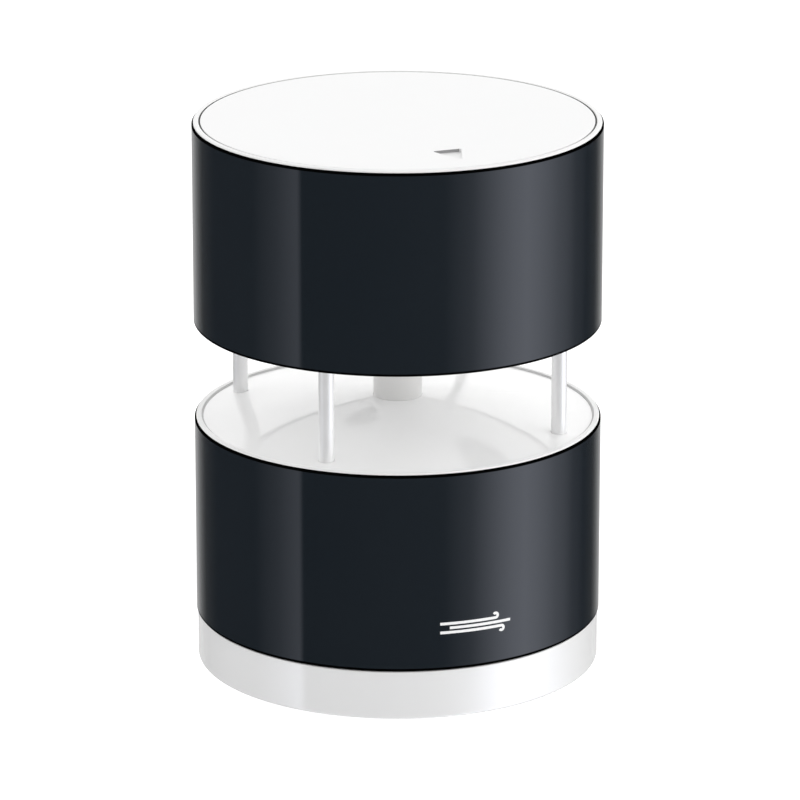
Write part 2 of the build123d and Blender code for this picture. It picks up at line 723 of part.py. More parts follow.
def build():
    """Every node of the gauge, by name."""
    nodes = {name: make() for name, make in PARTS.items()}
    nodes["lower_sleeve"] = sleeve(LOWER_SLEEVE_BOTTOM, LOWER_SLEEVE_TOP)
    nodes["upper_sleeve"] = sleeve(UPPER_SLEEVE_BOTTOM, UPPER_SLEEVE_TOP)
    for number in range(4):
        nodes[f"support_post_{number + 1}"] = support_post(DIAGONALS[number])
        nodes[f"transducer_{number + 1}"] = transducer(QUARTERS[number])
        nodes[f"transducer_sleeve_{number + 1}"] = transducer_sleeve(QUARTERS[number])
        nodes[f"battery_{number + 1}"] = battery(number)
        nodes[f"battery_spring_{number + 1}"] = battery_spring(number)
    return nodes


os.makedirs("parts", exist_ok=True)
for name, shape in build().items():
    whole = Compound(children=list(shape)) if isinstance(shape, list) else shape
    whole.label = name
    export_step(whole, f"parts/{name}.step")
    print(name, "written")
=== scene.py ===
import json
import math
import random

import bpy
from mathutils import Matrix, Vector


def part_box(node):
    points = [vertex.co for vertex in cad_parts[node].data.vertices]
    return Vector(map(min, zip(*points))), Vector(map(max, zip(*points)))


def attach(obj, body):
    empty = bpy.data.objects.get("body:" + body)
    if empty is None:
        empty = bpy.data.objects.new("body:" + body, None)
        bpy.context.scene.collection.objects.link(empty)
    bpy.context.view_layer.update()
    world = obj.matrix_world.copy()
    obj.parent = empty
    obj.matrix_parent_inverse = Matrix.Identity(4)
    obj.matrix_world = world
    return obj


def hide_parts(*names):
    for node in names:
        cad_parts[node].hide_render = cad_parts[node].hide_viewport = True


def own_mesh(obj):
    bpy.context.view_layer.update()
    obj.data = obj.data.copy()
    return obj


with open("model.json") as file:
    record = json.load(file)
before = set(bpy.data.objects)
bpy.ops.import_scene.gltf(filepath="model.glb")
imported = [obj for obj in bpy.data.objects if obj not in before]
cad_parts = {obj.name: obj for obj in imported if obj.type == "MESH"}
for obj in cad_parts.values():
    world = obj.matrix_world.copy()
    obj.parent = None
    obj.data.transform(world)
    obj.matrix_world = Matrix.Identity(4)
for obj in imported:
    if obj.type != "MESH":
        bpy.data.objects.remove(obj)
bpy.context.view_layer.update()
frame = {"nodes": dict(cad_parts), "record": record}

# A compact ultrasonic wind gauge. Metres, +Z up, the north mark and the front towards -Y.
MM = 0.001
NODES = frame["nodes"]

# The viewpoint: a long lens to the left of the front, looking down on the gauge.
CAMERA_HEADING = math.radians(-21.5)
CAMERA_PITCH = math.radians(17.3454)
CAMERA_DISTANCE = 1.0698
CAMERA_HEIGHT = 0.38958
CAMERA_ASIDE = 0.000475
CAMERA_LENS = 241.0
SENSOR_WIDTH = 36
CLIP_END = 60

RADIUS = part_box("lower_sleeve")[1].x
MARK_THICKNESS = 0.015

# Places shared by several functions, in millimetres and degrees.
NUMBERS = (1, 2, 3, 4)
QUARTERS = (0, 90, 180, 270)
DIAGONALS = (45, 135, 225, 315)
AMPLIFIER_ANGLES = (22, 112, 202, 292)
AMPLIFIER_CIRCLE = 28.5
TRANSFORMER_CIRCLE = 11.5
TRANSDUCER_CIRCLE = 21.5
PILLAR_CIRCLE = 36.4
MAIN_SCREW_PLACE = 20
SENSOR_SCREW_PLACE = 17.5
MAIN_PLUG_X = 8
CAPACITOR_PLACES = ((20, 6), (27, 6), (23.5, 13))


# Camera and studio


def heading_axes():
    """The level directions towards the camera and to its right."""
    back = Vector((math.sin(CAMERA_HEADING), -math.cos(CAMERA_HEADING), 0))
    right = Vector((math.cos(CAMERA_HEADING), math.sin(CAMERA_HEADING), 0))
    return back, right


def make_camera():
    data = bpy.data.cameras.new("camera")
    data.lens = CAMERA_LENS
    data.sensor_width = SENSOR_WIDTH
    data.clip_end = CLIP_END
    camera = bpy.data.objects.new("camera", data)
    back, right = heading_axes()
    camera.location = back * CAMERA_DISTANCE + right * CAMERA_ASIDE + Vector((0, 0, CAMERA_HEIGHT))
    camera.rotation_euler = (math.pi / 2 - CAMERA_PITCH, 0, CAMERA_HEADING)
    bpy.context.collection.objects.link(camera)
    bpy.context.scene.camera = camera


class Graph:
    """Short ways to build a node tree."""

    def __init__(self, tree):
        self.tree = tree
        self.nodes = tree.nodes
        self.nodes.clear()

    def add(self, kind, **settings):
        node = self.nodes.new("ShaderNode" + kind)
        for key, value in settings.items():
            setattr(node, key, value)
        return node

    def link(self, source, target):
        self.tree.links.new(source, target)

    def angle(self, sine, cosine):
        """The angle with this sine and cosine, up to a common factor."""
        node = self.add("Math", operation="ARCTAN2")
        self.link(sine, node.inputs[0])
        self.link(cosine, node.inputs[1])
        return node.outputs[0]

    def spread(self, source, lows, highs, smooth=False):
        """source mapped from one range to another."""
        node = self.add("MapRange", interpolation_type="SMOOTHSTEP" if smooth else "LINEAR")
        self.link(source, node.inputs["Value"])
        for name, value in zip(("From Min", "From Max", "To Min", "To Max"), (*lows, *highs)):
            node.inputs[name].default_value = value
        return node.outputs["Result"]

    def ramp(self, source, stops):
        """A colour ramp; each stop is a place and a colour or a grey."""
        node = self.add("ValToRGB")
        node.color_ramp.interpolation = "LINEAR"
        while len(node.color_ramp.elements) < len(stops):
            node.color_ramp.elements.new(1.0)
        for element, (place, colour) in zip(node.color_ramp.elements, stops):
            element.position = place
            rgb = (colour,) * 3 if isinstance(colour, (int, float)) else colour
            element.color = (*rgb, 1)
        self.link(source, node.inputs["Fac"])
        return node.outputs["Color"]


# What the glossy sleeves see below the horizon, by degrees to the right of the camera, as a share of
# the brightest: a softly lit card on the right, a card with a hard edge on the left, a dark front.
CARD_PEAK = 2.05
CARDS = [
    (-180, 0.30), (-160, 0.27), (-142, 0.06), (-125, 0.03), (-88, 0.06), (-72, 0.20), (-57, 0.43),
    (-55.3, 0.058), (26, 0.085), (42, 0.26), (60, 0.76), (68, 0.93), (77, 1.0), (86, 0.80), (101, 0.40),
    (118, 0.11), (132, 0.03), (146, 0.045), (162, 0.23), (180, 0.30),
]
CARD_TINT = (0.96, 0.99, 1.12)
TINT_REACH = 140
# The studio above the horizon, which lights the white parts.
STUDIO = [
    (-180, 0.64), (-120, 0.66), (-75, 0.62), (-45, 0.16), (-5, 0.16), (40, 0.76), (90, 0.98), (140, 0.70),
    (180, 0.64),
]
STUDIO_PEAK = 2.1
ZENITH = 1.02
# Heights of a direction, as sines, between which the cards give way to the studio and it to the zenith.
HORIZON = (-0.10, 0.06)
OVERHEAD = (0.35, 0.85)

FLOOR_REACH = 30.0
FLOOR_TONE = 0.86
FLOOR_ROUGHNESS = 0.9
FLOOR_GLOW = 0.45


def azimuth_stops(table):
    return [((degrees + 180) / 360, value) for degrees, value in table]


def make_world():
    """A studio by direction: cards below the horizon, soft surroundings above it and an overhead light."""
    world = bpy.data.worlds.new("studio")
    world.use_nodes = True
    bpy.context.scene.world = world
    g = Graph(world.node_tree)
    direction = g.add("TexCoord").outputs["Generated"]
    back, right = heading_axes()

    def along(axis):
        node = g.add("VectorMath", operation="DOT_PRODUCT")
        g.link(direction, node.inputs[0])
        node.inputs[1].default_value = axis
        return node.outputs["Value"]

    height = along((0, 0, 1))
    turn = g.angle(along(right), along(back))
    place = g.spread(turn, (-math.pi, math.pi), (0, 1))

    def light(colour, strength):
        node = g.add("Background")
        g.link(colour, node.inputs["Color"])
        node.inputs["Strength"].default_value = strength
        return node.outputs[0]

    def blend(share, first, second):
        node = g.add("MixShader")
        g.link(share, node.inputs[0])
        g.link(first, node.inputs[1])
        g.link(second, node.inputs[2])
        return node.outputs[0]

    overhead = g.add("Background")
    overhead.inputs["Strength"].default_value = ZENITH
    tinted = [
        (degrees, tuple(value * tone for tone in CARD_TINT) if abs(degrees) < TINT_REACH else value)
        for degrees, value in CARDS
    ]
    cards = light(g.ramp(place, azimuth_stops(tinted)), CARD_PEAK)
    studio = light(g.ramp(place, azimuth_stops(STUDIO)), STUDIO_PEAK)
    upper = blend(g.spread(height, OVERHEAD, (0, 1), smooth=True), studio, overhead.outputs[0])
    whole = blend(g.spread(height, HORIZON, (0, 1), smooth=True), cards, upper)
    out = g.add("OutputWorld")
    g.link(whole, out.inputs["Surface"])
    bpy.context.scene.view_settings.view_transform = "Standard"


def make_floor():
    """A plain pale floor. The studio's cards are reflected as if it were not there."""
    mesh = bpy.data.meshes.new("floor")
    corners = [(u * FLOOR_REACH, v * FLOOR_REACH, 0) for u, v in ((-1, -1), (1, -1), (1, 1), (-1, 1))]
    mesh.from_pydata(corners, [], [(0, 1, 2, 3)])
    floor = bpy.data.objects.new("floor", mesh)
    bpy.context.collection.objects.link(floor)
    floor.visible_glossy = False
    paper = bpy.data.materials.new("floor_paper")
    paper.use_nodes = True
    g = Graph(paper.node_tree)
    shader = g.add("BsdfPrincipled")
    shader.inputs["Base Color"].default_value = (FLOOR_TONE, FLOOR_TONE, FLOOR_TONE, 1)
    shader.inputs["Roughness"].default_value = FLOOR_ROUGHNESS
    shader.inputs["Emission Color"].default_value = (1, 1, 1, 1)
    shader.inputs["Emission Strength"].default_value = FLOOR_GLOW
    g.link(shader.outputs[0], g.add("OutputMaterial").inputs["Surface"])
    mesh.materials.append(paper)


# Materials


def grey(value):
    return (value, value, value)


METAL = {"Metallic": 1.0}
# Each finish: two tones, the span of the roughness, the scale and strength of the grain, other sockets.
FINISHES = {
    "white_shell": (((0.87, 0.87, 0.865), (0.88, 0.88, 0.875)), (0.30, 0.36), 1400, 0.06, {}),
    "base_gloss": (
        (grey(0.815), grey(0.825)), (0.10, 0.14), 1400, 0.02, {"IOR": 1.75, "Specular IOR Level": 1.0}
    ),
    "disc_white": ((grey(0.91), grey(0.92)), (0.32, 0.38), 1400, 0.03, {"Specular IOR Level": 0.2}),
    "column_white": (((0.77, 0.765, 0.755), (0.79, 0.785, 0.775)), (0.28, 0.34), 1400, 0.05, {}),
    "white_gloss": ((grey(0.95), (0.96, 0.96, 0.958)), (0.06, 0.10), 700, 0.02, {}),
    "sleeve_blue_black": (((0.0055, 0.0091, 0.0127), (0.0065, 0.0101, 0.0137)), (0.05, 0.08), 500, 0.01, {}),
    # Painted shade: matt black without reflection, for the bands at the sleeves' cut ends.
    "sleeve_end_shade": ((grey(0.0006), grey(0.0012)), (0.7, 0.8), 900, 0.05, {"Specular IOR Level": 0.0}),
    "post_white": ((grey(0.91), grey(0.94)), (0.36, 0.42), 2200, 0.05, {"Metallic": 0.45}),
    "print_white": ((grey(0.84), grey(0.88)), (0.35, 0.42), 1600, 0.05, {}),
    # Painted shade: the grey of the sheet on the north mark's far wall.
    "painted_shade_grey": ((grey(0.28), grey(0.36)), (0.5, 0.6), 1600, 0.05, {}),
    "grille_steel": ((grey(0.5), grey(0.6)), (0.25, 0.35), 2600, 0.05, METAL),
    "steel": ((grey(0.62), grey(0.68)), (0.22, 0.3), 2200, 0.05, METAL),
    "brass": (((0.72, 0.50, 0.22), (0.78, 0.56, 0.26)), (0.22, 0.34), 1500, 0.06, METAL),
    "seal_rubber": ((grey(0.018), grey(0.028)), (0.6, 0.75), 1800, 0.15, {}),
    "seal_grey": ((grey(0.56), grey(0.62)), (0.6, 0.75), 1800, 0.15, {}),
    "transducer_can": ((grey(0.42), grey(0.5)), (0.3, 0.4), 1600, 0.06, METAL),
    "tray_plastic": ((grey(0.02), grey(0.03)), (0.45, 0.6), 1200, 0.2, {}),
    "cell_wrap": (((0.06, 0.08, 0.1), (0.07, 0.09, 0.11)), (0.2, 0.28), 800, 0.03, {}),
    "cell_band": (((0.55, 0.36, 0.12), (0.6, 0.4, 0.15)), (0.18, 0.26), 800, 0.03, {"Metallic": 0.8}),
    "cell_steel": ((grey(0.55), grey(0.64)), (0.2, 0.32), 1500, 0.05, METAL),
    "spring_plate": ((grey(0.7), grey(0.78)), (0.12, 0.2), 1500, 0.04, METAL),
    "board_green": (((0.01, 0.085, 0.04), (0.014, 0.11, 0.05)), (0.3, 0.42), 900, 0.08, {}),
    "board_run": (((0.02, 0.15, 0.07), (0.025, 0.18, 0.085)), (0.3, 0.42), 900, 0.06, {}),
    "solder": ((grey(0.58), grey(0.68)), (0.22, 0.36), 3000, 0.12, METAL),
    "chip_black": ((grey(0.012), grey(0.02)), (0.45, 0.6), 2600, 0.2, {}),
    "chip_ceramic": (((0.32, 0.22, 0.13), (0.38, 0.27, 0.17)), (0.35, 0.5), 2600, 0.1, {}),
    "ferrite": ((grey(0.03), grey(0.045)), (0.4, 0.6), 2200, 0.25, {}),
    "copper_wire": (((0.62, 0.26, 0.12), (0.7, 0.31, 0.15)), (0.2, 0.3), 2600, 0.05, METAL),
    "shield_metal": ((grey(0.6), grey(0.68)), (0.25, 0.35), 1500, 0.05, METAL),
    "led_lens": (((0.8, 0.8, 0.62), (0.84, 0.84, 0.68)), (0.15, 0.2), 1500, 0.02, {}),
    "connector_plastic": (((0.72, 0.69, 0.6), (0.78, 0.75, 0.66)), (0.4, 0.5), 1500, 0.1, {}),
    "cable_jacket": ((grey(0.02), grey(0.03)), (0.45, 0.6), 1500, 0.12, {}),
}
# These nodes are seen closely and have a finish of their own in place of their slot's.
OWN_LOOKS = {
    "base_cover": "base_gloss",
    "wire_column": "column_white",
    "top_cover": "disc_white",
    "plate_seal": "seal_grey",
}
GRAIN_DEPTH = 0.00002
PATCH_SIZE = 14
PATCH_SPAN = (0.3, 0.7)


def material(name, colours, roughness, scale, bump, settings):
    """A procedural finish: tone and roughness vary by patches, over a fine grain."""
    made = bpy.data.materials.new(name)
    made.use_nodes = True
    g = Graph(made.node_tree)
    shader = g.add("BsdfPrincipled")
    for socket, value in settings.items():
        shader.inputs[socket].default_value = value
    place = g.add("TexCoord").outputs["Object"]

    def noise(noise_scale, detail):
        node = g.add("TexNoise")
        node.inputs["Scale"].default_value = noise_scale
        node.inputs["Detail"].default_value = detail
        g.link(place, node.inputs["Vector"])
        return node.outputs["Fac"]

    patches = noise(scale / PATCH_SIZE, 3)
    grain = noise(scale, 2)
    g.link(g.ramp(patches, list(zip(PATCH_SPAN, colours))), shader.inputs["Base Color"])
    g.link(g.spread(patches, PATCH_SPAN, roughness), shader.inputs["Roughness"])
    dents = g.add("Bump")
    dents.inputs["Strength"].default_value = bump
    dents.inputs["Distance"].default_value = GRAIN_DEPTH
    g.link(grain, dents.inputs["Height"])
    g.link(dents.outputs["Normal"], shader.inputs["Normal"])
    g.link(shader.outputs[0], g.add("OutputMaterial").inputs["Surface"])
    return made


def dress_nodes():
    """Each CAD node gets the finish of its slot, or one of its own."""
    slots = {part["node"]: part["material_slot"] for part in frame["record"]["subparts"]}
    for name, node in NODES.items():
        node.data.materials.clear()
        node.data.materials.append(MATERIALS[OWN_LOOKS.get(name, slots[name])])


# Meshes, drawn in millimetres


def piece(name, mesh, body, slot, *looks):
    """A shown object from a mesh in millimetres, riding on a body, with its looks, or with the slot as its
    look when none are given.
    """
    mesh.transform(Matrix.Scale(MM, 4))
    obj = bpy.data.objects.new(name, mesh)
    bpy.context.collection.objects.link(obj)
    for look in looks or (slot,):
        mesh.materials.append(MATERIALS[look])
    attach(obj, body)
    return obj


def node_box(node):
    """A CAD node's corners in millimetres."""
    low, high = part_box(node)
    return low / MM, high / MM


def arc(centre, radius, start, end, steps=8):
    """Points of a round corner in (radius, height); angles in degrees from +r towards +z."""
    angles = [math.radians(start + (end - start) * k / steps) for k in range(steps + 1)]
    return [(centre[0] + radius * math.cos(a), centre[1] + radius * math.sin(a)) for a in angles]


def polar(radius, degrees):
    return radius * math.cos(math.radians(degrees)), radius * math.sin(math.radians(degrees))


class Draft:
    """A mesh being put together; every closed form added to it can have its own look."""

    def __init__(self):
        self.points = []
        self.faces = []
        self.looks = []

    def add(self, points, faces, matrix=None, look=0):
        first = len(self.points)
        self.points += [matrix @ Vector(p) if matrix else Vector(p) for p in points]
        self.faces += [tuple(first + k for k in face) for face in faces]
        self.looks += look if isinstance(look, list) else [look] * len(faces)

    def turned(self, outline, sectors, matrix=None, look=0):
        """A closed outline of (radius, height), or a function of the turn that gives one, taken about +Z."""
        points, faces, looks = [], [], []
        for k in range(sectors):
            turn = 2 * math.pi * k / sectors
            section = outline(turn) if callable(outline) else outline
            count = len(section)
            points += [(r * math.cos(turn), r * math.sin(turn), z) for r, z in section]
            here, there = k * count, (k + 1) % sectors * count
            for j in range(count):
                n = (j + 1) % count
                faces.append((here + j, there + j, there + n, here + n))
                looks.append(look(section[j], section[n]) if callable(look) else look)
        self.add(points, faces, matrix, looks)

    def capped(self, outline, sectors, matrix=None, look=0):
        """An open outline that starts and ends near the axis, turned about +Z, with a face at each end."""
        points, faces = [], []
        count = len(outline)
        for k in range(sectors):
            turn = 2 * math.pi * k / sectors
            points += [(r * math.cos(turn), r * math.sin(turn), z) for r, z in outline]
            here, there = k * count, (k + 1) % sectors * count
            faces += [(here + j, there + j, there + j + 1, here + j + 1) for j in range(count - 1)]
        faces.append(tuple(k * count for k in reversed(range(sectors))))
        faces.append(tuple(k * count + count - 1 for k in range(sectors)))
        self.add(points, faces, matrix, look)

    def wire(self, path, radius, sides, matrix=None, look=0):
        """A round wire along a path of points."""
        path = [Vector(p) for p in path]
        points, faces = [], []
        normal = None
        for k, centre in enumerate(path):
            along = (path[min(k + 1, len(path) - 1)] - path[max(k - 1, 0)]).normalized()
            if normal is None:
                normal = along.orthogonal().normalized()
            normal = (normal - along * normal.dot(along)).normalized()
            across = along.cross(normal)
            for j in range(sides):
                turn = 2 * math.pi * j / sides
                points.append(centre + radius * (normal * math.cos(turn) + across * math.sin(turn)))
        for k in range(len(path) - 1):
            for j in range(sides):
                n = (j + 1) % sides
                faces.append((k * sides + j, k * sides + n, (k + 1) * sides + n, (k + 1) * sides + j))
        last = (len(path) - 1) * sides
        faces += [tuple(reversed(range(sides))), tuple(range(last, last + sides))]
        self.add(points, faces, matrix, look)

    def prism(self, outline, bottom, top):
        """A flat outline of (x, y), counter-clockwise, raised between two heights."""
        count = len(outline)
        points = [(x, y, z) for z in (bottom, top) for x, y in outline]
        faces = [tuple(reversed(range(count))), tuple(range(count, 2 * count))]
        faces += [(j, (j + 1) % count, count + (j + 1) % count, count + j) for j in range(count)]
        self.add(points, faces)

    def block(self, centre, size, chamfer=0.0, matrix=None, look=0):
        """A box on its middle, with its upright edges and its top cut back by the chamfer."""
        x, y, z = centre
        half_x, half_y, half_z = (s / 2 for s in size)
        c = min(chamfer, half_x * 0.8, half_y * 0.8)
        rings = [(-half_z, 0.0), (half_z - c, 0.0), (half_z, c)] if c else [(-half_z, 0.0), (half_z, 0.0)]
        points = []
        for level, inset in rings:
            a, b = half_x - inset, half_y - inset
            corner = [(a, b), (-a, b), (-a, -b), (a, -b)]
            if c:
                corner = [(a, b - c), (a - c, b), (c - a, b), (-a, b - c)]
                corner += [(-u, -v) for u, v in corner]
            points += [(x + u, y + v, z + level) for u, v in corner]
        count = 8 if c else 4
        faces = [tuple(reversed(range(count)))]
        for ring in range(len(rings) - 1):
            base = ring * count
            faces += [
                (base + j, base + (j + 1) % count, base + count + (j + 1) % count, base + count + j)
                for j in range(count)
            ]
        top = (len(rings) - 1) * count
        faces.append(tuple(range(top, top + count)))
        self.add(points, faces, matrix, look)

    def mesh(self, name, sharp=30):
        made = bpy.data.meshes.new(name)
        made.from_pydata(self.points, [], self.faces)
        made.polygons.foreach_set("material_index", self.looks)
        made.polygons.foreach_set("use_smooth", [True] * len(self.faces))
        made.set_sharp_from_angle(angle=math.radians(sharp))
        return made


# Outside


def make_sleeve(node):
    """A gloss sleeve whose cut ends carry a matt black band: painted shade for the dark lines at the
    sleeve's ends.
    """
    low, high = node_box(node)
    rounding, band, wall, hook, hook_rise = 0.3, 0.55, 0.9, 41.0, 0.4
    sectors = 288
    outer = RADIUS / MM - MARK_THICKNESS
    inner = RADIUS / MM - wall
    outline = [(hook, low.z), *arc((outer - rounding, low.z + rounding), rounding, -90, 0)]
    outline += [(outer, low.z + band), (outer, (low.z + high.z) / 2), (outer, high.z - band)]
    outline += arc((outer - rounding, high.z - rounding), rounding, 0, 90)
    outline += [(inner, high.z), (inner, low.z + hook_rise), (hook, low.z + hook_rise)]

    # Faces within the band at either end get the painted shade.
    def look(first, second):
        middle = (first[1] + second[1]) / 2
        return int(middle < low.z + band or middle > high.z - band)

    draft = Draft()
    draft.turned(outline, sectors, look=look)
    mesh = draft.mesh(node + "_shell")
    shell = piece(node + "_shell", mesh, "housing", "sleeve_blue_black", "sleeve_blue_black", "sleeve_end_shade")
    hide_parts(node)


def make_wind_mark():
    """A plain wind sign printed low on the front: three strokes, two of them curled."""
    half, pitch, curl, middle = 0.29, 0.95, 0.5, 19.6
    straight_steps, curl_steps, curl_sweep = 24, 16, 235
    strokes = [(-7.2, 4.9, 1), (-5.2, 8.4, 0), (-7.2, 6.3, -1)]
    draft = Draft()
    for row, (start, end, side) in enumerate(strokes):
        level = middle + (1 - row) * pitch
        path = [(start + (end - start) * k / straight_steps, level) for k in range(straight_steps + 1)]
        if side:
            turns = [
                math.radians(-90 * side + side * curl_sweep * k / curl_steps)
                for k in range(1, curl_steps + 1)
            ]
            path += [(end + curl * math.cos(t), level + side * curl + curl * math.sin(t)) for t in turns]
        draw_stroke(draft, path, half)
    piece("wind_mark", draft.mesh("wind_mark"), "housing", "white_shell", "print_white")


def draw_stroke(draft, path, half):
    """A thin printed stroke round the sleeve, from a path of (arc length, height)."""
    outer, inner = RADIUS / MM, RADIUS / MM - 2 * MARK_THICKNESS
    points, faces = [], []
    for k, (s, z) in enumerate(path):
        before, after = path[max(k - 1, 0)], path[min(k + 1, len(path) - 1)]
        along = Vector((after[0] - before[0], after[1] - before[1])).normalized()
        for side in (-1, 1):
            at_s, at_z = s - side * half * along.y, z + side * half * along.x
            turn = at_s / outer - math.pi / 2
            for radius in (outer, inner):
                points.append((radius * math.cos(turn), radius * math.sin(turn), at_z))
    for k in range(len(path) - 1):
        a, b = 4 * k, 4 * k + 4
        faces += [(a, b, b + 2, a + 2), (a + 1, a + 3, b + 3, b + 1)]
        faces += [(a, a + 1, b + 1, b), (a + 2, b + 2, b + 3, a + 3)]
    last = 4 * (len(path) - 1)
    faces += [(0, 2, 3, 1), (last, last + 1, last + 3, last + 2)]
    draft.add(points, faces)


def make_insert():
    """The brass insert with its 1/4-20 thread and a knurled outside."""
    low, high = node_box("mount_insert")
    pitch, minor, major, outer, groove = 1.27, 2.55, 3.12, high.x, 3.5
    teeth, depth, slant, lead_in = 44, 0.22, 5.2, 0.5
    plain_foot, plain_head, set_back, ridge_slope = 0.6, 0.4, 0.1, 2.6
    rows, sectors = 96, 176
    bands = ((2.4, 3.2), (5.0, 5.8))
    levels = [low.z + (high.z - low.z) * k / rows for k in range(rows + 1)]

    def bore(turn, z):
        phase = (z / pitch - turn / (2 * math.pi)) % 1.0
        ridge = min(1.0, abs(phase - 0.5) * ridge_slope)
        deep = major - (major - minor) * ridge
        return max(deep, minor + lead_in - (z - low.z)) if z - low.z < lead_in else deep

    def outside(turn, z):
        if any(start <= z <= end for start, end in bands):
            return groove
        if z - low.z < plain_foot or high.z - z < plain_head:
            return outer - set_back
        across = math.sin(teeth * turn + slant * z) * math.sin(teeth * turn - slant * z)
        return outer - depth * (0.5 - 0.5 * across)

    def outline(turn):
        section = [(outside(turn, z), z) for z in levels]
        return section + [(bore(turn, z), z) for z in reversed(levels)]

    draft = Draft()
    draft.turned(outline, sectors)
    insert = piece("threaded_insert", draft.mesh("threaded_insert", 50), "base", "brass")
    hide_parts("mount_insert")


def make_twist_signs():
    """Raised arrows, the way the cover turns to open, and dots in the base's underside recess."""
    floor, raised, inner, outer, barb, sweep, point, steps = 0.5, 0.2, 25.0, 27.4, 2.0, 62, 9, 30
    dot_circle, dot_turn, dot_radius, dot_sides = 31.5, 30, 1.1, 24
    draft = Draft()
    for start in (20, 140, 260):
        angles = [start + sweep * k / steps for k in range(steps + 1)]
        outline = [polar(outer, a) for a in angles] + [polar(inner, a) for a in reversed(angles)]
        outline.append(polar(inner - barb, start))
        outline.append(polar((inner + outer) / 2, start - point))
        outline.append(polar(outer + barb, start))
        draft.prism(outline, raised, floor)
        x, y = polar(dot_circle, start - dot_turn)
        draft.prism([(x + u, y + v) for u, v in circle(dot_radius, dot_sides)], raised, floor)
    piece("twist_signs", draft.mesh("twist_signs"), "base", "white_shell")


def circle(radius, sides):
    return [polar(radius, 360 * k / sides) for k in range(sides)]


def make_grilles():
    """A woven mesh in front of each transducer's face."""
    wire, spacing, reach, stand, sides, steps_each = 0.11, 0.8, 4.85, 0.24, 6, 4
    for number in NUMBERS:
        low, high = node_box(f"transducer_{number}")
        x, y = (low.x + high.x) / 2, (low.y + high.y) / 2
        draft = Draft()
        steps = int(reach / spacing)
        for along in (0, 1):
            for k in range(-steps, steps + 1):
                offset = k * spacing
                half = math.sqrt(reach ** 2 - offset ** 2)
                count = max(2, int(half * 2 / spacing) * steps_each)
                path = []
                for j in range(count + 1):
                    s = -half + 2 * half * j / count
                    lift = wire * math.cos(math.pi * (s / spacing + k + along))
                    u, v = (offset, s) if along else (s, offset)
                    path.append((x + u, y + v, low.z + stand + lift))
                draft.wire(path, wire, sides)
        name = f"transducer_grille_{number}"
        piece(name, draft.mesh("grille"), "housing", "transducer_can", "grille_steel")


def make_north_shade():
    """A grey sheet on the far wall of the pressed north mark: painted shade, darker than the wall's own
    white.
    """
    top = node_box("top_cover")[1].z
    edge, half, sheet, deep, shallow = 26.9, 2.75, 0.03, 0.62, 0.02
    wall = [(-half, -edge - sheet), (half, -edge - sheet), (half, -edge), (-half, -edge)]
    draft = Draft()
    draft.prism(wall, top - deep, top - shallow)
    piece("north_mark_shade", draft.mesh("north_mark_shade"), "housing", "white_gloss", "painted_shade_grey")


# Batteries


def side_of(number):
    """The end of the bay that a cell's nub faces: 1 and 3 face the back, 2 and 4 the front."""
    return 1 if number % 2 else -1


def lying(x, z, side):
    """Turns something drawn upright to lie along Y, with its top at the side given."""
    return Matrix.Translation((x, 0, z)) @ Matrix.Rotation(-side * math.pi / 2, 4, "X")


def make_batteries():
    """AA cells: a can in a shrunk wrap, a nub in an insulating ring at the top, a dished bottom.

    Their outlines are (radius, height from the cell's middle); those that start and end at axis are capped.
    """
    can, wrap, half, nub, nub_top, roll, axis = 6.95, 7.1, 24.6, 2.6, 25.6, 0.35, 0.02
    dish, foot, ring, wrap_end, ring_lip = 4.6, 5.1, 5.4, 5.5, 3.0
    tuck, turn_in, proud, band_from, band_to = 0.1, 0.12, 0.004, 14, 3
    sectors, rounds = 64, 5
    bottom = [(axis, 0.3 - half), (dish, 0.25 - half), (foot, -half)]
    bottom += arc((can - roll, roll - half), roll, -90, 0, rounds)
    bottom += [(can, half - 0.8), (axis, half - 0.8)]
    sleeve = [(can - tuck, 0.5 - half), (wrap - turn_in, 0.38 - half), (wrap, 0.6 - half)]
    sleeve += [(wrap, half - 0.6), (wrap - turn_in, half - 0.3), (5.6, half - 0.25)]
    sleeve += [(wrap_end, half - 0.5), (can - tuck, half - 0.9)]
    band = [(wrap - tuck, half - band_from), (wrap + proud, half - band_from)]
    band += [(wrap + proud, half - band_to), (wrap - tuck, half - band_to)]
    top = [(axis, half - 0.7), (ring, half - 0.7), (ring, half - 0.45), (ring_lip, half - 0.35)]
    top += [(nub, half - 0.2), *arc((nub - roll, nub_top - roll), roll, 0, 90, rounds), (axis, nub_top)]
    looks = ("cell_wrap", "cell_steel", "cell_band")
    for number in NUMBERS:
        low, high = node_box(f"battery_{number}")
        place = lying((low.x + high.x) / 2, (low.z + high.z) / 2, side_of(number))
        draft = Draft()
        draft.turned(sleeve, sectors, place, 0)
        draft.capped(bottom, sectors, place, 1)
        draft.capped(top, sectors, place, 1)
        draft.turned(band, sectors, place, 2)
        mesh = draft.mesh("wrapped_cell")
        cell = piece(f"wrapped_cell_{number}", mesh, f"cell_{number}", "cell_wrap", *looks)
        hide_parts(f"battery_{number}")


